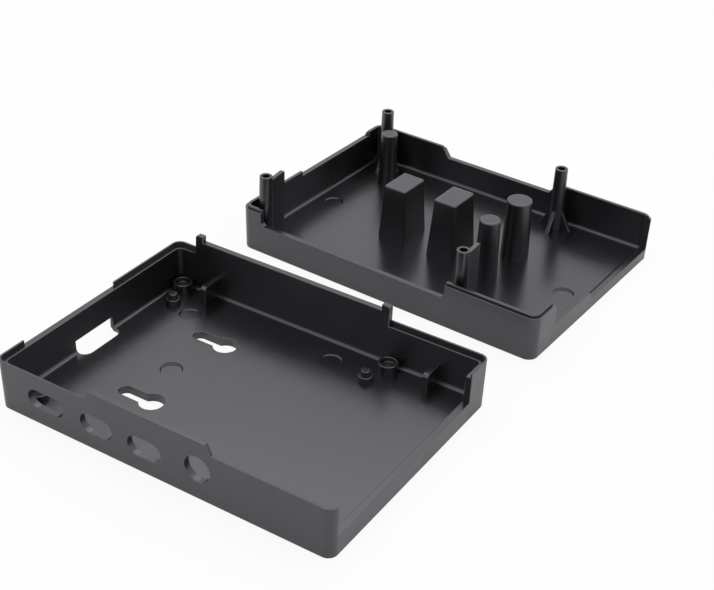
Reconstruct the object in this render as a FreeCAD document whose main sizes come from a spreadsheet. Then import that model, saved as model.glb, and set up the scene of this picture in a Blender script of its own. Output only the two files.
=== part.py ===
"""Two-piece aluminium cooling case for a single-board computer, shown open.

The base shell stands on its floor with its open side up. The heatsink lid lies behind it on its
outer face, so its pillars and screw posts point up. Each piece is one die casting. Lengths are in
millimetres and angles in degrees. Each piece is drawn from its own front left bottom corner, with
X along the long side from the card end to the socket end.
"""
import FreeCAD, Part
import math
import os
import re
import Sketcher

Vector = FreeCAD.Vector

# The least volume, in cubic millimetres, by which a feature has to change its piece
LEAST_CHANGE = 0.01

# How near, in millimetres, an edge or face has to lie to the place where it is looked for
NEAR = 0.01

# How closely, in millimetres, the footprint is measured
FOOTPRINT_TOLERANCE = 0.1

# Driving dimensions, each with the words that a user reads beside it
SIZES = {
    # the board that the case is made for, and the room round it
    "board_length": (85.0, "length of the board"),
    "board_width": (56.0, "width of the board"),
    "board_seat": (3.7, "height of the board's underside"),
    "hole_inset": (3.5, "board edge to the centre of a board hole"),
    "hole_pitch_x": (58.0, "pitch of the board's holes along the case"),
    "hole_pitch_y": (49.0, "pitch of the board's holes across the case"),
    "card_margin": (3.25, "card end's outer face to the board's edge, at the ground"),
    "socket_margin": (3.05, "socket end's outer face to the board's edge, at the ground"),
    "port_margin": (2.1, "port side's outer face to the board's edge, at the ground"),
    "header_margin": (7.5, "header side's outer face to the board's edge, at the ground"),
    # base shell's walls
    "base_draft": (0.8, "outward draft of the base shell's outer walls"),
    "base_corner": (2.4, "outer corner radius of the base shell"),
    "base_floor": (2.2, "floor thickness of the base shell"),
    "base_wall": (2.0, "thickness of the base shell's walls at the ground"),
    "base_hollow_draft": (2.5, "draft of the base shell's inner wall faces"),
    "inner_corner": (1.3, "corner radius inside both shells"),
    "floor_fillet": (1.0, "radius where walls meet floors"),
    "edge_break": (0.2, "chamfer round the outer face of each shell"),
    # rims
    "rim_height": (13.3, "parting height of the base shell"),
    "ledge_drop": (1.1, "depth of the lap joint's ledge below the parting height"),
    "lip_thick": (0.5, "thickness of the lap joint's outer lip"),
    "lap_play": (0.1, "play between the two lips"),
    "lip_gap": (0.4, "gap over the lid's lip when the case is closed"),
    # tongue on the port side
    "tongue_start": (23.2, "left foot of the tongue over the ports"),
    "tongue_end": (57.4, "right foot of the tongue over the ports"),
    "tongue_rise": (2.4, "height of the tongue above the parting height"),
    "tongue_slope": (1.2, "run of the tongue's slanted ends"),
    "tongue_thick": (1.2, "thickness of the tongue"),
    # raised wall with two ears on the header side
    "header_start": (3.5, "left side of the left ear"),
    "header_end": (61.6, "right side of the right ear"),
    "header_rise": (2.6, "height of the raised wall above the parting height"),
    "ear_rise": (4.2, "height of the ears above the parting height"),
    "ear_width": (2.3, "width of an ear"),
    "ear_round": (0.8, "radius on the outer top corner of an ear"),
    # low stretch over the card end
    "card_low_start": (6.85, "front end of the low stretch in the card end"),
    "card_low_end": (38.0, "back end of the low stretch in the card end"),
    # port holes in the front wall
    "port_height": (6.8, "centre height of the three flat ports"),
    "power_x": (11.2, "centre of the power port"),
    "power_width": (10.4, "width of the power port's hole"),
    "power_tall": (5.0, "height of the power port's hole"),
    "video_x": (26.0, "centre of the first video port"),
    "video_pitch": (13.5, "pitch of the two video ports"),
    "video_width": (9.2, "width of a video port's hole"),
    "video_tall": (5.2, "height of a video port's hole"),
    "audio_x": (54.0, "centre of the audio jack"),
    "audio_height": (8.1, "centre height of the audio jack"),
    "audio_radius": (3.4, "radius of the audio jack's hole"),
    # card slot
    "card_start": (21.8, "front end of the card slot"),
    "card_end": (35.0, "back end of the card slot"),
    "card_top": (5.2, "top of the card slot in the end wall"),
    "card_reach": (4.8, "reach of the card slot into the floor"),
    "card_corner": (2.2, "corner radius of the card slot in the floor"),
    "scoop_side": (0.9, "depth of the finger scoop in the end wall"),
    "scoop_under": (1.0, "depth of the finger scoop in the underside"),
    "scoop_margin": (1.7, "width of the scoop beyond the slot"),
    # mouth for the sockets
    "mouth_start": (0.1, "front end of the socket mouth"),
    "mouth_end": (54.9, "back end of the socket mouth"),
    "mouth_sill": (5.2, "height of the sill under the sockets"),
    # keyholes for hanging the case
    "key_x": (25.9, "centre of a keyhole's large circle"),
    "key_pitch": (28.0, "pitch of the two keyholes"),
    "key_radius": (3.05, "radius of a keyhole's large circle"),
    "key_slot": (1.7, "radius of a keyhole's slot"),
    "key_run": (7.7, "centre of the circle to the centre of the slot's end"),
    # bosses, pins and stops
    "boss_radius": (2.5, "radius of a screw boss"),
    "rear_boss_x": (1.5, "centre of the left rear screw"),
    "rear_boss_pitch": (62.3, "pitch of the rear screws"),
    "rear_boss_y": (3.0, "rear screws, beyond the board's back edge"),
    "rear_boss_top": (4.6, "top of a rear screw boss"),
    "cup_radius": (1.9, "radius of the cup in a rear boss"),
    "cup_depth": (0.9, "depth of the cup in a rear boss"),
    "screw_radius": (1.35, "clearance radius for a screw"),
    "head_radius": (2.45, "radius of the recess for a screw's head"),
    "head_depth": (1.5, "depth of the recess for a screw's head"),
    "collar_radius": (1.8, "radius of a locating pin's collar"),
    "pin_radius": (1.15, "radius of a locating pin"),
    "pin_top": (5.1, "top of a locating pin"),
    "stop_width": (1.5, "width of a board stop"),
    "stop_top": (7.1, "top of a board stop"),
    "stop_gap": (0.3, "gap between the board and a stop"),
    "stop_x": (10.1, "centre of the left board stop"),
    "stop_pitch": (65.3, "pitch of the board stops"),
    "stop_bevel": (0.6, "bevel on a board stop's front top edge"),
    # ejector marks on the floors
    "mark_radius": (2.8, "radius of an ejector mark"),
    "mark_depth": (0.15, "depth of an ejector mark"),
    "middle_mark_x": (21.5, "middle ejector mark in the base, along the board"),
    "middle_mark_y": (29.4, "middle ejector mark in the base, across the board"),
    "left_mark_x": (10.3, "left ejector mark in the base, along the board"),
    "left_mark_y": (50.7, "left ejector mark in the base, across the board"),
    "right_mark_x": (50.4, "right ejector mark in the base, along the board"),
    "right_mark_y": (54.5, "right ejector mark in the base, across the board"),
    "socket_mark_x": (80.4, "lid's ejector mark at the socket end, along the board"),
    "socket_mark_y": (33.5, "lid's ejector mark at the socket end, across the board"),
    "card_mark_x": (4.1, "lid's ejector mark at the card end, along the board"),
    "card_mark_y": (30.8, "lid's ejector mark at the card end, across the board"),
    # heatsink lid's walls
    "lid_play": (0.1, "how much smaller the lid's outer face is than the base shell's"),
    "lid_draft": (0.8, "outward draft of the lid's outer walls"),
    "lid_corner": (2.8, "outer corner radius of the lid"),
    "lid_floor": (2.4, "plate thickness of the lid"),
    "lid_wall": (1.65, "thickness of the lid's walls at its outer face"),
    "lid_hollow_draft": (1.5, "draft of the lid's inner wall faces"),
    "lid_rim": (12.3, "height of the lid's outer ledge"),
    # openings in the lid's walls
    "window_play": (0.2, "play between an ear and the side of the ribbon window"),
    "window_height": (8.5, "height of the wall under the ribbon window"),
    "window_corner": (1.2, "radius at the lower corners of the ribbon window"),
    "gap_start": (22.8, "left foot of the gap for the tongue"),
    "gap_end": (56.3, "right foot of the gap for the tongue"),
    "gap_height": (9.8, "height of the wall in that gap"),
    "gap_slope": (2.3, "run of that gap's slanted ends"),
    "gap_round": (1.0, "radius on that gap's shoulders"),
    "end_low_start": (4.85, "port end of the low stretch in the lid's card end"),
    "end_low_end": (37.8, "header end of the low stretch in the lid's card end"),
    "end_low": (11.7, "height of the wall in that stretch"),
    "lid_mouth_end": (53.05, "header end of the lid's socket mouth"),
    "lid_mouth_bevel": (2.0, "run of the bevel at that end"),
    "lid_mouth_foot": (11.2, "height of the foot of that bevel"),
    "network_sill": (5.8, "height of the sill over the network socket"),
    "network_sill_end": (34.15, "port end of that sill"),
    "network_sill_slope": (2.0, "run of that sill's slanted end"),
    "low_sill": (3.15, "height of the sill over the other sockets"),
    # screw posts
    "post_radius": (1.75, "radius of a screw post at its tip"),
    "post_draft": (1.0, "draft of the screw posts"),
    "rear_post_top": (21.4, "tip of a rear screw post"),
    "front_post_top": (20.85, "tip of a front screw post"),
    "thread_radius": (1.05, "radius of the screw hole in a post"),
    "thread_depth": (9.0, "depth of the screw hole in a post"),
    "fin_thick": (1.2, "thickness of a rear post's fin"),
    "fin_top": (20.2, "top of a rear post's fin at its outer end"),
    "fin_fall": (1.0, "fall of the fin's top towards the post"),
    "fin_reach": (7.5, "reach of a rear post's fin from the post's centre"),
    "fin_round": (0.6, "radius on the outer top corner of a fin"),
    "gusset_top": (11.2, "top of a front post's gussets"),
    "gusset_reach": (4.8, "reach of a front post's gussets"),
    "gusset_thick": (1.0, "thickness of a front post's gussets"),
    # cooling pillars
    "processor_x": (29.4, "centre of the processor pillar along the board"),
    "chip_y": (33.4, "centre of both block pillars across the board"),
    "chip_pitch": (15.9, "processor pillar to memory pillar"),
    "chip_top_x": (6.6, "length of a block pillar's top"),
    "chip_top_y": (9.7, "width of a block pillar's top"),
    "chip_draft": (3.2, "draft of the block pillars"),
    "chip_edge": (0.5, "radius on the upright edges of a block pillar"),
    "processor_top": (18.2, "top of the processor pillar"),
    "memory_top": (19.3, "top of the memory pillar"),
    "power_post_x": (9.4, "centre of the power chip's pillar along the board"),
    "power_post_y": (11.2, "centre of the power chip's pillar across the board"),
    "power_post_top": (18.4, "top of the power chip's pillar"),
    "power_post_foot": (2.7, "foot radius of the power chip's pillar"),
    "power_post_tip": (2.37, "top radius of the power chip's pillar"),
    "socket_post_x": (59.5, "centre of the socket chip's pillar along the board"),
    "socket_post_y": (38.5, "centre of the socket chip's pillar across the board"),
    "socket_post_top": (19.5, "top of the socket chip's pillar"),
    "socket_post_foot": (3.2, "foot radius of the socket chip's pillar"),
    "socket_post_tip": (2.75, "top radius of the socket chip's pillar"),
    "network_post_x": (60.3, "centre of the network chip's pillar along the board"),
    "network_post_y": (24.4, "centre of the network chip's pillar across the board"),
    "network_post_top": (19.5, "top of the network chip's pillar"),
    "network_post_foot": (3.85, "foot radius of the network chip's pillar"),
    "network_post_tip": (3.4, "top radius of the network chip's pillar"),
    "tip_edge": (0.25, "chamfer round the tops of the round pillars"),
    # how the two pieces lie
    "lid_shift_x": (1.75, "lid's corner along the base shell's long side"),
    "lid_shift_y": (90.95, "lid's corner behind the base shell's port face"),
    "lid_turn": (-2.6, "turn of the lid as it lies"),
    # how far cutting shapes run past what they cut
    "overrun": (2.0, "overrun of a cut"),
}

doc = FreeCAD.newDocument("cooling_case")
sheet = doc.addObject("Spreadsheet::Sheet", "Sizes")
for row, (alias, (number, words)) in enumerate(SIZES.items(), start=1):
    sheet.set(f"A{row}", words)
    sheet.set(f"B{row}", str(number))
    sheet.setAlias(f"B{row}", alias)
doc.recompute()


def sized(text):
    """The expression text with each alias read from the sheet."""
    return re.sub(r"[a-z][a-z_]*", lambda word: "Sizes." + word[0] if word[0] in SIZES else word[0], text)


def number(text):
    """The expression's present value."""
    return float(sheet.evalExpression(sized(text)))


def bind(item, name, text):
    """Ties a property to the sheet."""
    item.setExpression(name, sized(text))


# Sketches

def new_sketch(body, name, plane, offset="0"):
    """A sketch on one of the body's own planes, moved along the plane's normal."""
    sketch = body.newObject("Sketcher::SketchObject", name)
    base = next(item for item in body.Origin.OriginFeatures if item.Role == plane)
    sketch.AttachmentSupport = [(base, "")]
    sketch.MapMode = "FlatFace"
    bind(sketch, "AttachmentOffset.Base.z", offset)
    return sketch


def dimension(sketch, kind, places, text):
    """A dimension whose value comes from the sheet."""
    index = sketch.addConstraint(Sketcher.Constraint(kind, *places, number(text)))
    bind(sketch, f"Constraints[{index}]", text)


def place_point(sketch, item, point, x, y):
    """Fixes a point of an element by its two coordinates."""
    dimension(sketch, "DistanceX", (-1, 1, item, point), x)
    dimension(sketch, "DistanceY", (-1, 1, item, point), y)


def circle(sketch, x, y, radius):
    """A full circle."""
    centre = Vector(number(x), number(y), 0)
    item = sketch.addGeometry(Part.Circle(centre, Vector(0, 0, 1), number(radius)))
    place_point(sketch, item, 3, x, y)
    dimension(sketch, "Radius", (item,), radius)


def slot(sketch, left, right, y, radius):
    """A slot with round ends, along the sketch's X."""
    x0, x1, y0, size = number(left), number(right), number(y), number(radius)
    up = Vector(0, 0, 1)
    arcs = [Part.Circle(Vector(x0, y0, 0), up, size), Part.Circle(Vector(x1, y0, 0), up, size)]
    first = sketch.addGeometry(Part.ArcOfCircle(arcs[0], math.pi / 2, 3 * math.pi / 2))
    lower = sketch.addGeometry(Part.LineSegment(Vector(x0, y0 - size, 0), Vector(x1, y0 - size, 0)))
    last = sketch.addGeometry(Part.ArcOfCircle(arcs[1], -math.pi / 2, math.pi / 2))
    upper = sketch.addGeometry(Part.LineSegment(Vector(x1, y0 + size, 0), Vector(x0, y0 + size, 0)))
    for a, a_end, b, b_end in ((first, 2, lower, 1), (lower, 2, last, 1), (last, 2, upper, 1),
                               (upper, 2, first, 1)):
        sketch.addConstraint(Sketcher.Constraint("Tangent", a, a_end, b, b_end))
    sketch.addConstraint(Sketcher.Constraint("Horizontal", lower))
    sketch.addConstraint(Sketcher.Constraint("Horizontal", upper))
    place_point(sketch, first, 3, left, y)
    dimension(sketch, "DistanceX", (-1, 1, last, 3), right)
    dimension(sketch, "Radius", (first,), radius)


def outline(sketch, corners):
    """A closed outline through corners (x, y) or (x, y, radius).

    The lines beside a rounded corner run along the sketch's axes.
    """
    count = len(corners)
    points = [Vector(number(corner[0]), number(corner[1]), 0) for corner in corners]
    radii = [number(corner[2]) if len(corner) > 2 else 0.0 for corner in corners]

    def step(i):
        return (points[(i + 1) % count] - points[i]).normalize()

    def flat(i):
        return abs(step(i).y) < 1e-9

    lines = []
    for i in range(count):
        start = points[i] + step(i) * radii[i]
        end = points[(i + 1) % count] - step(i) * radii[(i + 1) % count]
        lines.append(sketch.addGeometry(Part.LineSegment(start, end)))
    for i in range(count):
        into, away = lines[i - 1], lines[i]
        if not radii[i]:
            sketch.addConstraint(Sketcher.Constraint("Coincident", into, 2, away, 1))
            place_point(sketch, away, 1, corners[i][0], corners[i][1])
            continue
        before, after = step(i - 1), step(i)
        start, end = points[i] - before * radii[i], points[i] + after * radii[i]
        middle = points[i] + (after - before) * radii[i]
        bulge = middle - (after - before).normalize() * radii[i]
        arc = Part.Arc(start, bulge, end)
        item = sketch.addGeometry(arc)
        turns_left = before.x * after.y - before.y * after.x > 0
        first, last = (1, 2) if turns_left else (2, 1)
        sketch.addConstraint(Sketcher.Constraint("Tangent", into, 2, item, first))
        sketch.addConstraint(Sketcher.Constraint("Tangent", item, last, away, 1))
        dimension(sketch, "Radius", (item,), corners[i][2])
    for i in range(count):
        following = (i + 1) % count
        if radii[i] or radii[following]:
            sketch.addConstraint(Sketcher.Constraint("Horizontal" if flat(i) else "Vertical", lines[i]))
        if radii[i] and radii[following]:
            side = "DistanceY" if flat(i) else "DistanceX"
            dimension(sketch, side, (-1, 1, lines[i], 1), corners[i][1] if flat(i) else corners[i][0])


def rectangle(sketch, left, front, right, back, radius=None):
    """A rectangle, with round corners where a radius is given."""
    corners = [(left, front), (right, front), (right, back), (left, back)]
    outline(sketch, [corner + (radius,) if radius else corner for corner in corners])


# Features

def feature(body, kind, name, sketch, length, taper="0", flip=False, both=False):
    """A pad or pocket of a sketch. Both adds half of the length to each side."""
    item = body.newObject("PartDesign::" + kind, name)
    item.Profile = sketch
    bind(item, "Length", length)
    bind(item, "TaperAngle", taper)
    item.Reversed = flip
    item.Midplane = both
    sketch.Visibility = False
    doc.recompute()
    return item


def pad(body, name, sketch, length, **options):
    """Adds material and makes sure that it did."""
    before = body.Shape.Volume if body.Tip else 0.0
    item = feature(body, "Pad", name, sketch, length, **options)
    if item.Shape.Volume < before + LEAST_CHANGE:
        raise RuntimeError(name + " adds nothing")
    return item


def pocket(body, name, sketch, length, **options):
    """Takes material away and makes sure that it did."""
    before = body.Shape.Volume
    item = feature(body, "Pocket", name, sketch, length, **options)
    if item.Shape.Volume > before - LEAST_CHANGE:
        raise RuntimeError(name + " cuts nothing")
    return item


def dress(body, kind, name, edges, size):
    """A fillet or chamfer on named edges of the tip."""
    base = body.Tip
    item = body.newObject("PartDesign::" + kind, name)
    item.Base = (base, edges)
    bind(item, "Radius" if kind == "Fillet" else "Size", size)
    doc.recompute()
    return item

def names_where(kind, items, test):
    """Names of a shape's faces or edges whose bounding boxes pass the test."""
    return [f"{kind}{index}" for index, item in enumerate(items, start=1) if test(item.BoundBox)]


def edges_where(body, test):
    """Names of the tip's edges whose bounding boxes pass the test."""
    return names_where("Edge", body.Tip.Shape.Edges, test)


def faces_where(body, test):
    """Names of the tip's faces whose bounding boxes pass the test."""
    return names_where("Face", body.Tip.Shape.Faces, test)


def is_upright(box, low, high):
    """True for an edge or face that runs from one height to another."""
    return abs(box.ZMin - low) < NEAR and abs(box.ZMax - high) < NEAR


def is_level(box, height):
    """True for an edge or face that lies at one height."""
    return is_upright(box, height, height)


def lean(body, name, sides, level, angle, flip):
    """Leans upright faces by a draft angle about the level face that they meet."""
    base = body.Tip
    before = body.Shape.Volume
    item = body.newObject("PartDesign::Draft", name)
    item.Base = (base, sides)
    item.NeutralPlane = (base, level)
    item.Reversed = flip
    bind(item, "Angle", angle)
    doc.recompute()
    if abs(item.Shape.Volume - before) < LEAST_CHANGE:
        raise RuntimeError(name + " leans nothing")


def shell(body, length, width, height, floor, wall, draft, hollow_draft, corner):
    """The open box that each casting starts as: drafted walls, round corners, filleted floor."""
    label = body.Label
    top, deck, longest, widest = (number(text) for text in (height, floor, length, width))
    plan = new_sketch(body, label + "_plan", "XY_Plane")
    rectangle(plan, "0", "0", length, width)
    rectangle(plan, wall, wall, f"{length} - {wall}", f"{width} - {wall}")
    pad(body, label + "_walls", plan, height)

    def ground():
        return faces_where(body, lambda box: is_level(box, 0))

    def reaches_across(box):
        return max(box.XLength - longest, box.YLength - widest) > -NEAR

    outer = faces_where(body, lambda box: is_upright(box, 0, top) and reaches_across(box))
    lean(body, label + "_outer_draft", outer, ground(), draft, flip=True)
    inner = faces_where(body, lambda box: is_upright(box, 0, top) and not reaches_across(box))
    lean(body, label + "_hollow_draft", inner, ground(), hollow_draft, flip=False)
    plate = new_sketch(body, label + "_floor_plan", "XY_Plane")
    rectangle(plate, f"{wall} / 2", f"{wall} / 2", f"{length} - {wall} / 2", f"{width} - {wall} / 2")
    pad(body, label + "_floor", plate, floor)

    uprights = edges_where(body, lambda box: is_upright(box, 0, top))
    dress(body, "Fillet", label + "_corners", uprights, corner)
    ring = edges_where(body, lambda box: is_level(box, 0))
    dress(body, "Chamfer", label + "_edge_break", ring, "edge_break")
    inside = edges_where(body, lambda box: is_upright(box, deck, top) and box.XLength + box.YLength < top)
    dress(body, "Fillet", label + "_inner_corners", inside, "inner_corner")
    foot = edges_where(body, lambda box: is_level(box, deck))
    dress(body, "Fillet", label + "_floor_fillet", foot, "floor_fillet")


def trim(body, name, plane, offset, corners, length, flip=False):
    """Cuts the walls down to an outline drawn on an upright plane."""
    sketch = new_sketch(body, name + "_outline", plane, offset)
    outline(sketch, corners)
    pocket(body, name, sketch, length, flip=flip)


def ejector_marks(body, floor, places):
    """Shallow round marks of the ejector pins on a floor."""
    sketch = new_sketch(body, body.Label + "_mark_plan", "XY_Plane", floor)
    for x, y in places:
        circle(sketch, x, y, "mark_radius")
    pocket(body, body.Label + "_marks", sketch, "mark_depth")


# Places and lengths that follow from the board and its margins

BASE_LENGTH = "(card_margin + board_length + socket_margin)"
BASE_WIDTH = "(port_margin + board_width + header_margin)"
BASE_TOP = "(rim_height + ear_rise)"
BASE_FLARE = "rim_height * tan(base_draft)"
LID_LENGTH = f"({BASE_LENGTH} - lid_play)"
LID_WIDTH = f"({BASE_WIDTH} - lid_play)"
LIP_TOP = "(lid_rim + ledge_drop - lip_gap)"
LID_FLARE = "lid_rim * tan(lid_draft)"
SCREW_XS = {
    "front": ["hole_inset", "hole_inset + hole_pitch_x"],
    "rear": ["rear_boss_x", "rear_boss_x + rear_boss_pitch"],
}
SCREW_Y = {"front": "hole_inset", "rear": "board_width + rear_boss_y"}


def base_x(place):
    """A place along the board, from the base shell's corner."""
    return f"(card_margin + {place})"


def base_y(place):
    """A place across the board, from the base shell's corner."""
    return f"(port_margin + {place})"


def lid_x(place):
    """A place along the board, from the turned lid's corner."""
    return f"(card_margin - lid_play / 2 + {place})"


def lid_y(place):
    """A place across the board, from the turned lid's corner, which lies at the header side."""
    return f"({LID_WIDTH} + lid_play / 2 - port_margin - ({place}))"


# Base shell

def base_rims(body):
    """The rim: tongue over the ports, ears at the header, low stretch at the card, socket mouth."""
    left, right = "-overrun", f"{BASE_LENGTH} + overrun"
    above = f"{BASE_TOP} + overrun"
    half = f"{BASE_WIDTH} / 2 + overrun"
    port_side = [
        (left, "rim_height"),
        (base_x("tongue_start"), "rim_height"),
        (base_x("tongue_start + tongue_slope"), "rim_height + tongue_rise"),
        (base_x("tongue_end - tongue_slope"), "rim_height + tongue_rise"),
        (base_x("tongue_end"), "rim_height"),
        (right, "rim_height"),
        (right, above),
        (left, above),
    ]
    trim(body, "port_side_rim", "XZ_Plane", "overrun", port_side, half)
    raised = "rim_height + header_rise"
    header_side = [
        (left, "rim_height"),
        (base_x("header_start"), "rim_height"),
        (base_x("header_start"), BASE_TOP, "ear_round"),
        (base_x("header_start + ear_width"), BASE_TOP),
        (base_x("header_start + ear_width"), raised),
        (base_x("header_end - ear_width"), raised),
        (base_x("header_end - ear_width"), BASE_TOP),
        (base_x("header_end"), BASE_TOP, "ear_round"),
        (base_x("header_end"), "rim_height"),
        (right, "rim_height"),
        (right, above),
        (left, above),
    ]
    trim(body, "header_side_rim", "XZ_Plane", f"-{BASE_WIDTH} / 2", header_side, half)
    ledge = "rim_height - ledge_drop"
    card_low = [
        (base_y("card_low_start"), ledge),
        (base_y("card_low_end"), ledge),
        (base_y("card_low_end"), above),
        (base_y("card_low_start"), above),
    ]
    trim(body, "card_end_low", "YZ_Plane", "-overrun", card_low, "2 * overrun + base_wall", flip=True)
    mouth = [
        (base_y("mouth_start"), "mouth_sill"),
        (base_y("mouth_end"), "mouth_sill"),
        (base_y("mouth_end"), above),
        (base_y("mouth_start"), above),
    ]
    start = f"{BASE_LENGTH} - base_wall - overrun"
    trim(body, "socket_mouth", "YZ_Plane", start, mouth, "3 * overrun + base_wall", flip=True)


def base_ledge(body):
    """The ledge inside the lip, which stays clear of the raised wall at the header."""
    near = f"lip_thick - {BASE_FLARE}"
    right = f"{BASE_LENGTH} + {BASE_FLARE} - lip_thick"
    back = f"{BASE_WIDTH} + {BASE_FLARE} - lip_thick"
    behind_tongue = f"tongue_thick - {BASE_FLARE}"
    before_header = f"{BASE_WIDTH} - base_wall - overrun"
    radius = "base_corner - lip_thick"
    sketch = new_sketch(body, "ledge_plan", "XY_Plane", "rim_height - ledge_drop")
    outline(sketch, [
        (near, near, radius),
        (base_x("tongue_start"), near),
        (base_x("tongue_start"), behind_tongue),
        (base_x("tongue_end"), behind_tongue),
        (base_x("tongue_end"), near),
        (right, near, radius),
        (right, back, radius),
        (base_x("header_end"), back),
        (base_x("header_end"), before_header),
        (base_x("header_start"), before_header),
        (base_x("header_start"), back),
        (near, back, radius),
    ])
    pocket(body, "ledge", sketch, "ledge_drop + ear_rise + overrun", flip=True)


def base_bosses(body):
    """Screw bosses, locating pins and board stops that stand on the floor."""
    def stand(name, places, radius, top):
        sketch = new_sketch(body, name + "_plan", "XY_Plane", "base_floor")
        for x, y in places:
            circle(sketch, x, y, radius)
        pad(body, name, sketch, f"{top} - base_floor")

    front, rear = ([(base_x(x), base_y(SCREW_Y[row])) for x in SCREW_XS[row]] for row in ("front", "rear"))
    pins = [(base_x(x), base_y("hole_inset + hole_pitch_y")) for x in SCREW_XS["front"]]
    stand("front_bosses", front, "boss_radius", "board_seat")
    stand("rear_bosses", rear, "boss_radius", "rear_boss_top")
    stand("pin_collars", pins, "collar_radius", "board_seat")
    stand("locating_pins", pins, "pin_radius", "pin_top")

    for name, x in (("left_stop", "stop_x"), ("right_stop", "stop_x + stop_pitch")):
        sketch = new_sketch(body, name + "_outline", "YZ_Plane", base_x(x))
        face = base_y("board_width + stop_gap")
        wall = f"{BASE_WIDTH} - base_wall / 2"
        outline(sketch, [
            (face, "base_floor"),
            (wall, "base_floor"),
            (wall, "stop_top"),
            (f"{face} + stop_bevel", "stop_top"),
            (face, "stop_top - stop_bevel"),
        ])
        pad(body, name, sketch, "stop_width", both=True)

    cups = new_sketch(body, "cup_plan", "XY_Plane", "rear_boss_top")
    for x, y in rear:
        circle(cups, x, y, "cup_radius")
    pocket(body, "boss_cups", cups, "cup_depth")
    heads = new_sketch(body, "head_recess_plan", "XY_Plane")
    holes = new_sketch(body, "screw_hole_plan", "XY_Plane")
    for x, y in front + rear:
        circle(heads, x, y, "head_radius")
        circle(holes, x, y, "screw_radius")
    pocket(body, "head_recesses", heads, "head_depth", flip=True)
    pocket(body, "screw_holes", holes, "rear_boss_top + overrun", flip=True)


def base_openings(body):
    """Port holes, card slot with its finger scoop, keyholes and ejector marks."""
    ports = new_sketch(body, "port_outline", "XZ_Plane", "overrun")
    flat = [("power_x", "power_width", "power_tall"), ("video_x", "video_width", "video_tall"),
            ("video_x + video_pitch", "video_width", "video_tall")]
    for x, wide, tall in flat:
        reach = f"({wide} - {tall}) / 2"
        slot(ports, f"{base_x(x)} - {reach}", f"{base_x(x)} + {reach}", "port_height", f"{tall} / 2")
    circle(ports, base_x("audio_x"), "audio_height", "audio_radius")
    pocket(body, "port_holes", ports, "2 * overrun + base_wall")

    card = new_sketch(body, "card_slot_plan", "XY_Plane")
    outline(card, [
        ("-overrun", base_y("card_start")),
        ("card_reach", base_y("card_start"), "card_corner"),
        ("card_reach", base_y("card_end"), "card_corner"),
        ("-overrun", base_y("card_end")),
    ])
    pocket(body, "card_slot", card, "card_top", flip=True)
    scoop = new_sketch(body, "scoop_outline", "XZ_Plane", f"-{base_y('card_end + scoop_margin')}")
    outline(scoop, [
        ("-overrun", "-overrun"),
        ("card_reach + scoop_under", "-overrun"),
        ("card_reach", "scoop_under"),
        ("scoop_side + scoop_under", "scoop_under"),
        ("scoop_side", "2 * scoop_under"),
        ("scoop_side", "card_top"),
        ("-overrun", "card_top + scoop_side + overrun"),
    ])
    pocket(body, "finger_scoop", scoop, "card_end - card_start + 2 * scoop_margin", flip=True)

    circles = new_sketch(body, "keyhole_plan", "XY_Plane")
    slots = new_sketch(body, "keyhole_slot_plan", "XY_Plane")
    key = base_x("key_x")
    for y in (f"({BASE_WIDTH} - key_pitch) / 2", f"({BASE_WIDTH} + key_pitch) / 2"):
        circle(circles, key, y, "key_radius")
        slot(slots, f"{key} - key_run", key, y, "key_slot")
    pocket(body, "keyholes", circles, "base_floor", flip=True)
    pocket(body, "keyhole_slots", slots, "base_floor", flip=True)
    marks = ("middle", "left", "right")
    ejector_marks(body, "base_floor", [(base_x(f"{m}_mark_x"), base_y(f"{m}_mark_y")) for m in marks])


# Heatsink lid

def lid_rims(body):
    """The lid's rim: ribbon window, gap for the tongue, low card end, socket mouth."""
    above = f"{LIP_TOP} + overrun"
    window = [
        (lid_x("header_start - window_play"), "window_height", "window_corner"),
        (lid_x("header_end + window_play"), "window_height", "window_corner"),
        (lid_x("header_end + window_play"), above),
        (lid_x("header_start - window_play"), above),
    ]
    trim(body, "ribbon_window", "XZ_Plane", "overrun", window, "2 * overrun + lid_wall")
    left, right = lid_x("gap_start - gap_slope"), lid_x("gap_end + gap_slope")
    gap = [
        (lid_x("gap_start"), "gap_height"),
        (lid_x("gap_end"), "gap_height"),
        (right, LIP_TOP),
        (right, above),
        (left, above),
        (left, LIP_TOP),
    ]
    trim(body, "tongue_gap", "XZ_Plane", f"-{LID_WIDTH} + lid_wall + overrun", gap, "3 * overrun + lid_wall")
    top, wall = number(LIP_TOP), number(f"{LID_WIDTH} - lid_wall - overrun")
    sides = (number(left), number(right))
    shoulders = edges_where(body, lambda box: is_level(box, top) and box.YMin > wall
                            and any(abs(box.XMin - x) < NEAR and abs(box.XMax - x) < NEAR for x in sides))
    dress(body, "Fillet", "gap_shoulders", shoulders, "gap_round")
    end_low = [
        (lid_y("end_low_end"), "end_low"),
        (lid_y("end_low_start"), "end_low"),
        (lid_y("end_low_start"), above),
        (lid_y("end_low_end"), above),
    ]
    trim(body, "lid_end_low", "YZ_Plane", "-overrun", end_low, "2 * overrun + lid_wall", flip=True)
    header_end = lid_y("lid_mouth_end")
    port_end = f"{LID_WIDTH} - lid_wall"
    mouth = [
        (header_end, "network_sill"),
        (lid_y("network_sill_end"), "network_sill"),
        (lid_y("network_sill_end - network_sill_slope"), "low_sill"),
        (port_end, "low_sill"),
        (port_end, above),
        (f"{header_end} - lid_mouth_bevel", above),
        (f"{header_end} - lid_mouth_bevel", LIP_TOP),
        (header_end, "lid_mouth_foot"),
    ]
    trim(body, "lid_mouth", "YZ_Plane", f"{LID_LENGTH} - lid_wall - overrun", mouth,
         "3 * overrun + lid_wall", flip=True)


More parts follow.
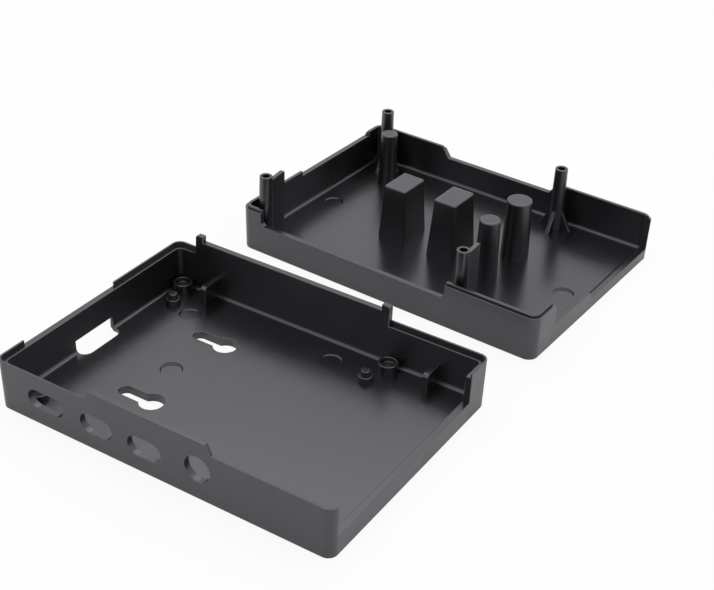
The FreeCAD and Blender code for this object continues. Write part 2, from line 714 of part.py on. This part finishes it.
def lid_ledge(body):
    """The ledge outside the lid's lip, cut all round."""
    reach = f"lip_thick + lap_play - {LID_FLARE}"
    sketch = new_sketch(body, "lid_ledge_plan", "XY_Plane", "lid_rim")
    rectangle(sketch, "-overrun", "-overrun", f"{LID_LENGTH} + overrun", f"{LID_WIDTH} + overrun")
    rectangle(sketch, reach, reach, f"{LID_LENGTH} - ({reach})", f"{LID_WIDTH} - ({reach})",
              "lid_corner - lip_thick")
    pocket(body, "lid_ledge", sketch, "ledge_drop + overrun", flip=True)


def cone(body, name, x, y, foot_radius, tip_radius, top):
    """A tapered round pillar that stands on the lid's plate."""
    before = body.Shape.Volume
    item = body.newObject("PartDesign::AdditiveCone", name)
    bind(item, "Radius1", foot_radius)
    bind(item, "Radius2", tip_radius)
    bind(item, "Height", f"{top} - lid_floor")
    bind(item, "Placement.Base.x", x)
    bind(item, "Placement.Base.y", y)
    bind(item, "Placement.Base.z", "lid_floor")
    doc.recompute()
    if item.Shape.Volume < before + LEAST_CHANGE:
        raise RuntimeError(name + " adds nothing")


def block(body, name, x, top):
    """A tapered block pillar that stands on the lid's plate."""
    centre_x, centre_y = lid_x(x), lid_y("chip_y")
    sides = [f"{centre_x} - chip_top_x / 2", f"{centre_y} - chip_top_y / 2",
             f"{centre_x} + chip_top_x / 2", f"{centre_y} + chip_top_y / 2"]
    sketch = new_sketch(body, name + "_plan", "XY_Plane")
    rectangle(sketch, *sides)
    pad(body, name, sketch, top)
    left, front, right, back = (number(side) for side in sides)

    def around(box, spread):
        return (left - spread < box.XMin and box.XMax < right + spread
                and front - spread < box.YMin and box.YMax < back + spread)

    deck, tip = number("lid_floor"), number(top)
    spread = (tip - deck) * math.tan(math.radians(number("chip_draft"))) + NEAR
    walls = faces_where(body, lambda box: is_upright(box, deck, tip) and around(box, NEAR))
    crown = faces_where(body, lambda box: is_level(box, tip) and around(box, NEAR))
    lean(body, name + "_draft", walls, crown, "chip_draft", flip=False)
    uprights = edges_where(body, lambda box: is_upright(box, deck, tip) and around(box, spread))
    dress(body, "Fillet", name + "_edges", uprights, "chip_edge")


def lid_posts(body):
    """Screw posts: two at the back of the board with fins, two at its front holes with gussets."""
    places = {row: [(lid_x(x), lid_y(SCREW_Y[row])) for x in SCREW_XS[row]] for row in SCREW_XS}
    posts = [(f"{row}_post_{i}", x, y, row + "_post_top") for row in places
             for i, (x, y) in enumerate(places[row], start=1)]
    for name, x, y, top in posts:
        foot_radius = f"({top} - lid_floor) * tan(post_draft) + post_radius"
        cone(body, name, x, y, foot_radius, "post_radius", top)
    for i, (x, y) in enumerate(places["rear"], start=1):
        fin = new_sketch(body, f"fin_{i}_outline", "YZ_Plane", x)
        outline(fin, [
            (y, "lid_floor"),
            (f"{y} + fin_reach", "lid_floor"),
            (f"{y} + fin_reach", "fin_top"),
            (y, "fin_top - fin_fall"),
        ])
        pad(body, f"fin_{i}", fin, "fin_thick", both=True)
    tip = number("fin_top")
    dress(body, "Fillet", "fin_tips", edges_where(body, lambda box: is_level(box, tip)), "fin_round")
    for i, (x, y) in enumerate(places["front"], start=1):
        gussets = new_sketch(body, f"gusset_{i}_outline", "XZ_Plane", f"-{y}")
        outline(gussets, [
            (f"{x} - gusset_reach", "lid_floor"),
            (f"{x} + gusset_reach", "lid_floor"),
            (x, "gusset_top"),
        ])
        pad(body, f"gussets_{i}", gussets, "gusset_thick", both=True)
        inward = new_sketch(body, f"inward_gusset_{i}_outline", "YZ_Plane", x)
        outline(inward, [
            (f"{y} - gusset_reach", "lid_floor"),
            (y, "lid_floor"),
            (y, "gusset_top"),
        ])
        pad(body, f"inward_gusset_{i}", inward, "gusset_thick", both=True)
    for name, x, y, top in posts:
        hole = new_sketch(body, name + "_hole_plan", "XY_Plane", top)
        circle(hole, x, y, "thread_radius")
        pocket(body, name + "_hole", hole, "thread_depth")


def lid_pillars(body):
    """The cooling pillars, one over each chip that the case draws heat from."""
    block(body, "processor_pillar", "processor_x", "processor_top")
    block(body, "memory_pillar", "processor_x + chip_pitch", "memory_top")
    for name in ("power_post", "socket_post", "network_post"):
        x, y = lid_x(name + "_x"), lid_y(name + "_y")
        cone(body, name, x, y, name + "_foot", name + "_tip", name + "_top")
        height, reach = number(name + "_top"), 2 * number(name + "_tip")
        middle = Vector(number(x), number(y), height)
        rim = edges_where(body, lambda box: is_level(box, height)
                          and box.Center.distanceToPoint(middle) < reach)
        dress(body, "Chamfer", name + "_tip_edge", rim, "tip_edge")
    marks = ("socket", "card")
    ejector_marks(body, "lid_floor", [(lid_x(f"{m}_mark_x"), lid_y(f"{m}_mark_y")) for m in marks])


def add_body(label):
    """An empty body with its own label."""
    body = doc.addObject("PartDesign::Body", label)
    body.Label = label
    return body


base_shell = add_body("base_shell")
shell(base_shell, BASE_LENGTH, BASE_WIDTH, BASE_TOP, "base_floor", "base_wall", "base_draft",
      "base_hollow_draft", "base_corner")
base_rims(base_shell)
base_ledge(base_shell)
base_bosses(base_shell)
base_openings(base_shell)

heatsink_lid = add_body("heatsink_lid")
shell(heatsink_lid, LID_LENGTH, LID_WIDTH, LIP_TOP, "lid_floor", "lid_wall", "lid_draft",
      "lid_hollow_draft", "lid_corner")
lid_rims(heatsink_lid)
lid_ledge(heatsink_lid)
lid_pillars(heatsink_lid)
lid_posts(heatsink_lid)


def lay_out(pieces):
    """Lays the pieces as they are shown, with the middle of the pair's footprint at the origin."""
    lid = pieces[1]
    turn = FreeCAD.Rotation(Vector(0, 0, 1), number("lid_turn"))
    lid.Placement = FreeCAD.Placement(Vector(number("lid_shift_x"), number("lid_shift_y"), 0), turn)
    doc.recompute()
    points = [point for piece in pieces for point in piece.Shape.tessellate(FOOTPRINT_TOLERANCE)[0]]
    middle = [(min(axis) + max(axis)) / 2 for axis in zip(*points)]
    for piece in pieces:
        piece.Placement.Base = piece.Placement.Base - Vector(middle[0], middle[1], 0)
    doc.recompute()


lay_out([base_shell, heatsink_lid])

for item in doc.Objects:
    if "Invalid" in item.State or "Error" in item.State:
        raise RuntimeError(item.Name + " failed")
for piece in (base_shell, heatsink_lid):
    if piece.Shape.isNull() or not piece.Shape.isValid() or len(piece.Shape.Solids) != 1:
        raise RuntimeError(piece.Label + " is not one valid solid")

os.makedirs("parts", exist_ok=True)
for piece in (base_shell, heatsink_lid):
    piece.Shape.exportStep(f"parts/{piece.Label}.step")
    corner = [round(length, 4) for length in piece.Placement.Base]
    print(piece.Label, "volume", round(piece.Shape.Volume), "corner", corner)
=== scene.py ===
"""The dressed cooling case: an open base shell with its heatsink lid lying behind it.

Both castings keep the shapes of the solid model. Each is copied, its sharp edges are rounded as a
casting's are, and it gets a satin black finish with a fine grain. The rounded edges are lighter,
partly rubbed wear and partly a painted highlight. Lengths are in metres and angles in degrees
unless a property's unit says otherwise.
"""
import math

import bmesh
import bpy
from bpy.props import FloatProperty, FloatVectorProperty, PointerProperty
from mathutils import Matrix, Vector


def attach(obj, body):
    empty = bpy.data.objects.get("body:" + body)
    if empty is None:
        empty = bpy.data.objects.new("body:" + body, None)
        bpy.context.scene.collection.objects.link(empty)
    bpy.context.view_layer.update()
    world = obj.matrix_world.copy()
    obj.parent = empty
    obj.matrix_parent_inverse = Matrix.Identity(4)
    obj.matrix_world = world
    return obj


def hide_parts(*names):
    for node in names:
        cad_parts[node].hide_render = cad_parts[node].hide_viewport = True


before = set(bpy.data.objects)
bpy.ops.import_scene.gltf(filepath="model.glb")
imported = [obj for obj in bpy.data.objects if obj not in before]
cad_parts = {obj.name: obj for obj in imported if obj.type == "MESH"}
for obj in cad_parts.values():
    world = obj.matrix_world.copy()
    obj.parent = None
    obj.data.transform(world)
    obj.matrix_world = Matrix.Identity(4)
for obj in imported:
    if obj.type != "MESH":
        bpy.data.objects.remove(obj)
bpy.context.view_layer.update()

bl_info = {
    "name": "Cooling Case",
    "version": (1, 0, 0),
    "blender": (4, 5, 0),
    "location": "View3D > Sidebar > Cooling Case",
    "description": "Dresses the two castings of a computer's cooling case",
    "category": "Object",
}

BODY = "root"
# The finished castings: solid model's node, piece's name, material slot
CASTINGS = {
    "base_shell": ("base_shell_cast", "base_casting"),
    "heatsink_lid": ("heatsink_lid_cast", "lid_casting"),
}

# The camera, from the photograph: where it stands, and its turn, pitch and roll
CAMERA_PLACE = (0.158518, -0.260959, 0.201430)
CAMERA_TURN = -31.54
CAMERA_PITCH = 32.00
CAMERA_ROLL = 2.24
SENSOR_WIDTH_MM = 36.0
NEAREST_SEEN = 0.01
FARTHEST_SEEN = 10.0

# The lamp overhead, and how far the floor lies below the castings so that no faces coincide
LAMP_PLACE = (-0.1, 0.35, 0.9)
LAMP_SIZE = 0.9
FLOOR_DROP = 0.00002

# The finish: its two noises, the middle span of a noise that is used, and what that turns into
GRAIN_NOISE = {"Detail": 3.0, "Roughness": 0.6}
SMUDGE_NOISE = {"Detail": 4.0, "Roughness": 0.55}
NOISE_SPAN = (0.3, 0.7)
GRAIN_TONE = (0.72, 1.3)
SMUDGE_TONE = (0.88, 1.12)
# Upward parts of a face's normal between which a wall's gloss turns into a level face's
LEVEL_SPAN = (0.85, 1.0)
# Share of the roughness that the rounded edges keep; their lighter colour is partly rubbed wear and
# partly a painted highlight
WEAR_AND_HIGHLIGHT_ROUGHNESS_SHARE = 0.85

# The solid model's meshes: corners closer than this are one, and flatter bends than this are merged
SAME_PLACE = 1e-6
FLAT_BEND = 0.4
# An ejector mark's floor has more corners than this, is this level and is this near a true circle
MARK_CORNERS = 12
MARK_LEVEL = 0.99
MARK_TRUENESS = 0.05
# Radii from a mark's centre within which the edges are the mark's own
MARK_REACH = 1.1
ROUNDING_SEGMENTS = 3
# How much more the large faces count than the small ones in the shading; 50 counts all alike
LARGE_FACE_WEIGHT = 100


class CaseFinish(bpy.types.PropertyGroup):
    """Colours and sizes of the castings' finish."""

    black: FloatVectorProperty(
        name="Black", description="Colour of the satin finish", subtype="COLOR", size=3,
        default=(0.0025, 0.0025, 0.0029), min=0.0, max=1.0)
    # Lighter colour of the rounded edges: partly rubbed wear, partly a painted highlight
    wear_and_highlight: FloatVectorProperty(
        name="Edge wear and highlight", description="Colour of the finish where edges are rubbed",
        subtype="COLOR", size=3, default=(0.03, 0.03, 0.032), min=0.0, max=1.0)
    sheen: FloatVectorProperty(
        name="Sheen", description="Colour of the finish's reflections", subtype="COLOR", size=3,
        default=(0.93, 0.92, 1.0), min=0.0, max=1.0)
    roughness: FloatProperty(
        name="Roughness", description="Roughness of the satin finish", default=0.34, min=0.0,
        max=1.0)
    level_gloss: FloatProperty(
        name="Level gloss", description="Share of the roughness that level faces keep",
        default=0.65, min=0.0, max=1.0)
    reflectance: FloatProperty(
        name="Reflectance", description="Index of refraction of the satin finish", default=1.84,
        min=1.0, max=3.0)
    grain: FloatProperty(
        name="Grain", description="Width of a grain of the cast surface", unit="LENGTH",
        default=0.0003, min=0.00005)
    grain_depth: FloatProperty(
        name="Grain depth", description="Depth of the cast surface's grain", unit="LENGTH",
        default=0.000018, min=0.0)
    smudge: FloatProperty(
        name="Smudge", description="Width of a faint cloud in the finish", unit="LENGTH",
        default=0.011, min=0.001)
    edge_width: FloatProperty(
        name="Edge width", description="Width of the rounding on sharp edges", unit="LENGTH",
        default=0.00014, min=0.00001)
    crown_width: FloatProperty(
        name="Crown width", description="Width of the rounding on the block pillars' crowns",
        unit="LENGTH", default=0.00045, min=0.00005)
    crown_low: FloatProperty(
        name="Lowest crown", description="Height that all pillars' crowns lie above",
        unit="LENGTH", default=0.018, min=0.0)
    crown_high: FloatProperty(
        name="Highest crown", description="Height that all pillars' crowns lie below",
        unit="LENGTH", default=0.0198, min=0.0)
    crown_angle: FloatProperty(
        name="Crown angle", description="Least bend of a crown's edge that has no chamfer yet",
        subtype="ANGLE", default=math.radians(70.0), min=0.0, max=math.pi)
    mark_radius: FloatProperty(
        name="Mark radius", description="Radius of an ejector mark", unit="LENGTH",
        default=0.0028, min=0.0005)
    groove_width: FloatProperty(
        name="Groove width", description="Width of the groove round an ejector mark",
        unit="LENGTH", default=0.0003, min=0.00005)
    groove_depth: FloatProperty(
        name="Groove depth", description="Depth of that groove below the mark", unit="LENGTH",
        default=0.0003, min=0.0)
    edge_angle: FloatProperty(
        name="Edge angle", description="Least bend of an edge that gets rounded",
        subtype="ANGLE", default=math.radians(35.0), min=0.0, max=math.pi)


class CaseStage(bpy.types.PropertyGroup):
    """Floor, light and camera."""

    floor_size: FloatProperty(
        name="Floor size", description="Side of the square floor", unit="LENGTH", default=3.0,
        min=0.5)
    floor_colour: FloatVectorProperty(
        name="Floor colour", description="Colour of the floor", subtype="COLOR", size=3,
        default=(0.92, 0.92, 0.92), min=0.0, max=1.0)
    floor_white: FloatProperty(
        name="Floor white", description="How far the floor in view lifts to white", default=0.9,
        min=0.0, max=1.0)
    floor_mirrored: FloatProperty(
        name="Floor mirrored", description="How far the floor in reflections lifts to white",
        default=0.5, min=0.0, max=1.0)
    room_light: FloatProperty(
        name="Room light", description="Strength of the light from all round", default=0.8,
        min=0.0)
    top_light: FloatProperty(
        name="Top light", description="Power of the broad lamp overhead in watts", default=2.5,
        min=0.0)
    focal_length: FloatProperty(
        name="Focal length", description="Camera's focal length in millimetres", default=72.27,
        min=1.0)
    shift_x: FloatProperty(
        name="Shift right", description="Camera's sideways shift as a part of the image",
        default=0.0043)
    shift_y: FloatProperty(
        name="Shift up", description="Camera's upward shift as a part of the image",
        default=-0.0148)


# Materials

def add_node(tree, kind, place, **settings):
    """A shader node at a place in the editor, with its settings."""
    node = tree.nodes.new(kind)
    node.location = place
    for name, value in settings.items():
        setattr(node, name, value)
    return node


def new_group(name, inputs, outputs):
    """An empty shader node group with named inputs and outputs."""
    tree = bpy.data.node_groups.new(name, "ShaderNodeTree")
    for label, kind in inputs:
        tree.interface.new_socket(label, in_out="INPUT", socket_type="NodeSocket" + kind)
    for label, kind in outputs:
        tree.interface.new_socket(label, in_out="OUTPUT", socket_type="NodeSocket" + kind)
    given = add_node(tree, "NodeGroupInput", (-900, 0))
    return tree, given, add_node(tree, "NodeGroupOutput", (600, 0))


def noise(tree, place, where, scale, settings):
    """A noise at places on the object; returns its value."""
    node = add_node(tree, "ShaderNodeTexNoise", place)
    for label, value in settings.items():
        node.inputs[label].default_value = value
    tree.links.new(where, node.inputs["Vector"])
    tree.links.new(scale, node.inputs["Scale"])
    return node.outputs["Fac"]


def stretch(tree, place, value, span, result, **settings):
    """A node that turns one span of a value into another."""
    node = add_node(tree, "ShaderNodeMapRange", place, **settings)
    ends = zip(("From Min", "From Max", "To Min", "To Max"), (*span, *result))
    for label, end in ends:
        node.inputs[label].default_value = end
    tree.links.new(value, node.inputs["Value"])
    return node


def multiply(tree, place, first, second):
    """The product of two values."""
    node = add_node(tree, "ShaderNodeMath", place, operation="MULTIPLY")
    tree.links.new(first, node.inputs[0])
    tree.links.new(second, node.inputs[1])
    return node.outputs["Value"]


def cast_surface():
    """The group that gives a casting's clouded colour, uneven gloss and fine grain."""
    name = "cast_surface"
    if name in bpy.data.node_groups:
        return bpy.data.node_groups[name]
    tree, given, result = new_group(
        name,
        [("Colour", "Color"), ("Roughness", "Float"), ("Grain scale", "Float"),
         ("Grain depth", "Float"), ("Smudge scale", "Float"), ("Level gloss", "Float")],
        [("Colour", "Color"), ("Roughness", "Float"), ("Normal", "Vector")])
    link = tree.links.new
    place = add_node(tree, "ShaderNodeTexCoord", (-900, 300))
    where = place.outputs["Object"]
    grain = noise(tree, (-650, 200), where, given.outputs["Grain scale"], GRAIN_NOISE)
    smudge = noise(tree, (-650, -150), where, given.outputs["Smudge scale"], SMUDGE_NOISE)
    speck = stretch(tree, (-400, 250), grain, NOISE_SPAN, GRAIN_TONE).outputs["Result"]
    cloud = stretch(tree, (-400, -100), smudge, NOISE_SPAN, SMUDGE_TONE).outputs["Result"]

    colour = add_node(tree, "ShaderNodeMix", (100, 200), data_type="RGBA", blend_type="MULTIPLY")
    colour.inputs["Factor"].default_value = 1.0
    link(given.outputs["Colour"], colour.inputs["A"])
    link(multiply(tree, (-150, 150), speck, cloud), colour.inputs["B"])
    link(colour.outputs["Result"], result.inputs["Colour"])

    # The finish flows out smoother on level faces than on walls
    facing = add_node(tree, "ShaderNodeSeparateXYZ", (-650, -450))
    link(place.outputs["Normal"], facing.inputs["Vector"])
    level = stretch(tree, (-400, -400), facing.outputs["Z"], LEVEL_SPAN, (1.0, 1.0),
                    interpolation_type="SMOOTHSTEP")
    link(given.outputs["Level gloss"], level.inputs["To Max"])
    flow = multiply(tree, (-150, -250), cloud, level.outputs["Result"])
    link(multiply(tree, (100, -50), given.outputs["Roughness"], flow), result.inputs["Roughness"])

    bump = add_node(tree, "ShaderNodeBump", (100, -250))
    link(given.outputs["Grain depth"], bump.inputs["Distance"])
    link(grain, bump.inputs["Height"])
    link(bump.outputs["Normal"], result.inputs["Normal"])
    return tree


def cast_material(name, colour, roughness, finish):
    """A satin finish on cast metal."""
    material = bpy.data.materials.new(name)
    material.use_nodes = True
    tree = material.node_tree
    tree.nodes.clear()
    output = add_node(tree, "ShaderNodeOutputMaterial", (500, 0))
    shader = add_node(tree, "ShaderNodeBsdfPrincipled", (200, 0))
    shader.inputs["IOR"].default_value = finish.reflectance
    shader.inputs["Specular Tint"].default_value = (*finish.sheen, 1.0)
    surface = add_node(tree, "ShaderNodeGroup", (-100, 0), node_tree=cast_surface())
    surface.inputs["Colour"].default_value = (*colour, 1.0)
    surface.inputs["Roughness"].default_value = roughness
    surface.inputs["Grain scale"].default_value = 1.0 / finish.grain
    surface.inputs["Grain depth"].default_value = finish.grain_depth
    surface.inputs["Smudge scale"].default_value = 1.0 / finish.smudge
    surface.inputs["Level gloss"].default_value = finish.level_gloss
    tree.links.new(surface.outputs["Colour"], shader.inputs["Base Color"])
    tree.links.new(surface.outputs["Roughness"], shader.inputs["Roughness"])
    tree.links.new(surface.outputs["Normal"], shader.inputs["Normal"])
    tree.links.new(shader.outputs["BSDF"], output.inputs["Surface"])
    material.diffuse_color = (*colour, 1.0)
    return material


# Castings

def is_mark(face, radius):
    """Whether a face is the round floor of an ejector mark."""
    middle = face.calc_center_median()
    return len(face.verts) > MARK_CORNERS and face.normal.z > MARK_LEVEL and all(
        abs((vert.co - middle).length - radius) < MARK_TRUENESS * radius for vert in face.verts)


def groove_marks(form, finish):
    """Cuts the fine groove round each shallow ejector mark; returns the marks' centres."""
    marks = [face for face in form.faces if is_mark(face, finish.mark_radius)]
    centres = [face.calc_center_median().xy for face in marks]
    for face in marks:
        rim = face.verts[:]
        bmesh.ops.inset_region(form, faces=[face], thickness=finish.groove_width,
                               use_even_offset=True)
        for vert in rim:
            vert.co.z -= finish.groove_depth
    return centres


def weigh_edges(form, mark_centres, finish):
    """Says how wide each sharp edge is rounded: crowns widest, ejector marks not at all."""
    weight = form.edges.layers.float.new("bevel_weight_edge")
    usual = finish.edge_width / finish.crown_width
    reach = MARK_REACH * finish.mark_radius
    for edge in form.edges:
        bend = edge.calc_face_angle_signed(0.0)
        edge.smooth = abs(bend) < finish.edge_angle
        if bend <= finish.edge_angle:
            continue
        middle = (edge.verts[0].co + edge.verts[1].co) / 2
        marked = any((middle.xy - centre).length < reach for centre in mark_centres)
        low, high = sorted(vert.co.z for vert in edge.verts)
        level = high - low < SAME_PLACE and finish.crown_low < low and high < finish.crown_high
        crown = level and bend > finish.crown_angle
        edge[weight] = 1.0 if crown else 0.0 if marked else usual


def dress_casting(node, finish):
    """The finished casting that stands for a node of the solid model."""
    name, slot = CASTINGS[node]
    form = bmesh.new()
    form.from_mesh(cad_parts[node].data)
    bmesh.ops.remove_doubles(form, verts=form.verts, dist=SAME_PLACE)
    bmesh.ops.dissolve_limit(form, angle_limit=math.radians(FLAT_BEND), verts=form.verts,
                             edges=form.edges, delimit={"NORMAL"})
    mark_centres = groove_marks(form, finish)
    form.normal_update()
    weigh_edges(form, mark_centres, finish)
    for face in form.faces:
        face.smooth = True
    mesh = bpy.data.meshes.new(name)
    form.to_mesh(mesh)
    form.free()

    piece = bpy.data.objects.new(name, mesh)
    bpy.context.scene.collection.objects.link(piece)
    # The rounded edges take the second, lighter material: partly rubbed wear, partly a painted
    # highlight
    wear_and_highlight_roughness = finish.roughness * WEAR_AND_HIGHLIGHT_ROUGHNESS_SHARE
    mesh.materials.append(cast_material(node + "_black", finish.black, finish.roughness, finish))
    mesh.materials.append(cast_material(node + "_rubbed", finish.wear_and_highlight, wear_and_highlight_roughness, finish))
    rounding = piece.modifiers.new("edge_rounding", "BEVEL")
    rounding.limit_method = "WEIGHT"
    rounding.width = finish.crown_width
    rounding.segments = ROUNDING_SEGMENTS
    rounding.material = 1
    rounding.use_clamp_overlap = False
    evening = piece.modifiers.new("even_shading", "WEIGHTED_NORMAL")
    evening.keep_sharp = True
    evening.weight = LARGE_FACE_WEIGHT
    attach(piece, BODY)
    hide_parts(node)


class DressBaseShell(bpy.types.Operator):
    """Dress the base shell"""

    bl_idname = "cooling_case.base_shell"
    bl_label = "Base Shell"

    def execute(self, context):
        dress_casting("base_shell", context.scene.case_finish)
        return {"FINISHED"}


class DressHeatsinkLid(bpy.types.Operator):
    """Dress the heatsink lid"""

    bl_idname = "cooling_case.heatsink_lid"
    bl_label = "Heatsink Lid"

    def execute(self, context):
        dress_casting("heatsink_lid", context.scene.case_finish)
        return {"FINISHED"}


# Stage

def seen_share(tree, by_camera, by_gloss):
    """How far a surface is plain white: one share for the camera, one for what mirrors it."""
    path = add_node(tree, "ShaderNodeLightPath", (-800, 300))
    camera_share = add_node(tree, "ShaderNodeMath", (-550, 400), operation="MULTIPLY")
    camera_share.inputs[1].default_value = by_camera
    tree.links.new(path.outputs["Is Camera Ray"], camera_share.inputs[0])
    mirrored = add_node(tree, "ShaderNodeMath", (-550, 200), operation="MAXIMUM")
    tree.links.new(path.outputs["Is Glossy Ray"], mirrored.inputs[0])
    tree.links.new(path.outputs["Is Transmission Ray"], mirrored.inputs[1])
    gloss_share = add_node(tree, "ShaderNodeMath", (-350, 200), operation="MULTIPLY")
    gloss_share.inputs[1].default_value = by_gloss
    tree.links.new(mirrored.outputs["Value"], gloss_share.inputs[0])
    share = add_node(tree, "ShaderNodeMath", (-150, 300), operation="MAXIMUM")
    tree.links.new(camera_share.outputs["Value"], share.inputs[0])
    tree.links.new(gloss_share.outputs["Value"], share.inputs[1])
    return share.outputs["Value"]


def floor_material(stage):
    """A pale floor that lifts to white but keeps the object's shadow."""
    material = bpy.data.materials.new("pale_floor")
    material.use_nodes = True
    tree = material.node_tree
    tree.nodes.clear()
    output = add_node(tree, "ShaderNodeOutputMaterial", (600, 0))
    matt = add_node(tree, "ShaderNodeBsdfDiffuse", (0, 0))
    matt.inputs["Color"].default_value = (*stage.floor_colour, 1.0)
    glow = add_node(tree, "ShaderNodeEmission", (0, -150))
    mix = add_node(tree, "ShaderNodeMixShader", (300, 0))
    tree.links.new(seen_share(tree, stage.floor_white, stage.floor_mirrored), mix.inputs["Fac"])
    tree.links.new(matt.outputs["BSDF"], mix.inputs[1])
    tree.links.new(glow.outputs["Emission"], mix.inputs[2])
    tree.links.new(mix.outputs["Shader"], output.inputs["Surface"])
    return material


def set_room(stage):
    """Even light from all round, which the camera and reflections see as white."""
    world = bpy.data.worlds.new("room")
    bpy.context.scene.world = world
    world.use_nodes = True
    tree = world.node_tree
    tree.nodes.clear()
    output = add_node(tree, "ShaderNodeOutputWorld", (600, 0))
    background = add_node(tree, "ShaderNodeBackground", (300, 0))
    background.inputs["Color"].default_value = (1.0, 1.0, 1.0, 1.0)
    strength = add_node(tree, "ShaderNodeMix", (0, 0), data_type="FLOAT")
    strength.inputs["A"].default_value = stage.room_light
    strength.inputs["B"].default_value = 1.0
    tree.links.new(seen_share(tree, 1.0, 1.0), strength.inputs["Factor"])
    tree.links.new(strength.outputs["Result"], background.inputs["Strength"])
    tree.links.new(background.outputs["Background"], output.inputs["Surface"])


def set_lamp(stage):
    """The broad square lamp overhead, which faces the castings."""
    lamp = bpy.data.lights.new("top_lamp", "AREA")
    lamp.shape = "SQUARE"
    lamp.size = LAMP_SIZE
    lamp.energy = stage.top_light
    item = bpy.data.objects.new("top_lamp", lamp)
    bpy.context.scene.collection.objects.link(item)
    item.location = LAMP_PLACE
    item.rotation_euler = (-Vector(LAMP_PLACE)).to_track_quat("-Z", "Y").to_euler()


def set_camera(stage):
    """The camera where the photograph was taken from."""
    view = bpy.data.cameras.new("camera")
    view.sensor_width = SENSOR_WIDTH_MM
    view.lens = stage.focal_length
    view.shift_x = stage.shift_x
    view.shift_y = stage.shift_y
    view.clip_start = NEAREST_SEEN
    view.clip_end = FARTHEST_SEEN
    item = bpy.data.objects.new("camera", view)
    bpy.context.scene.collection.objects.link(item)
    turn, pitch, roll = (math.radians(angle) for angle in (CAMERA_TURN, CAMERA_PITCH, CAMERA_ROLL))
    forward = Vector((math.sin(turn) * math.cos(pitch), math.cos(turn) * math.cos(pitch),
                      -math.sin(pitch)))
    right = Vector((math.cos(turn), -math.sin(turn), 0.0))
    up = right.cross(forward)
    right, up = (right * math.cos(roll) + up * math.sin(roll),
                 up * math.cos(roll) - right * math.sin(roll))
    axes = Matrix((right, up, -forward)).transposed().to_4x4()
    item.matrix_world = Matrix.Translation(CAMERA_PLACE) @ axes
    bpy.context.scene.camera = item


def set_floor(stage):
    """The square floor under the castings."""
    form = bmesh.new()
    bmesh.ops.create_grid(form, x_segments=1, y_segments=1, size=stage.floor_size / 2)
    mesh = bpy.data.meshes.new("floor")
    form.to_mesh(mesh)
    form.free()
    mesh.materials.append(floor_material(stage))
    floor = bpy.data.objects.new("floor", mesh)
    bpy.context.scene.collection.objects.link(floor)
    floor.location.z = -FLOOR_DROP


class SetStage(bpy.types.Operator):
    """Set out the floor, the light and the camera"""

    bl_idname = "cooling_case.stage"
    bl_label = "Stage"

    def execute(self, context):
        stage = context.scene.case_stage
        set_floor(stage)
        set_room(stage)
        set_lamp(stage)
        set_camera(stage)
        context.scene.view_settings.view_transform = "Standard"
        return {"FINISHED"}


class CasePanel(bpy.types.Panel):
    """Sizes, colours and steps of the cooling case"""

    bl_idname = "VIEW3D_PT_cooling_case"
    bl_label = "Cooling Case"
    bl_space_type = "VIEW_3D"
    bl_region_type = "UI"
    bl_category = "Cooling Case"

    def draw(self, context):
        for settings in (context.scene.case_finish, context.scene.case_stage):
            box = self.layout.box()
            for name in settings.__annotations__:
                box.prop(settings, name)
        for step in STEPS:
            self.layout.operator(step.bl_idname)


STEPS = (DressBaseShell, DressHeatsinkLid, SetStage)
CLASSES = (CaseFinish, CaseStage, *STEPS, CasePanel)


def register():
    for item in CLASSES:
        bpy.utils.register_class(item)
    bpy.types.Scene.case_finish = PointerProperty(type=CaseFinish)
    bpy.types.Scene.case_stage = PointerProperty(type=CaseStage)


def unregister():
    del bpy.types.Scene.case_stage
    del bpy.types.Scene.case_finish
    for item in reversed(CLASSES):
        bpy.utils.unregister_class(item)


def main():
    register()
    bpy.ops.cooling_case.base_shell()
    bpy.ops.cooling_case.heatsink_lid()
    bpy.ops.cooling_case.stage()


if __name__ == "__main__":
    main()
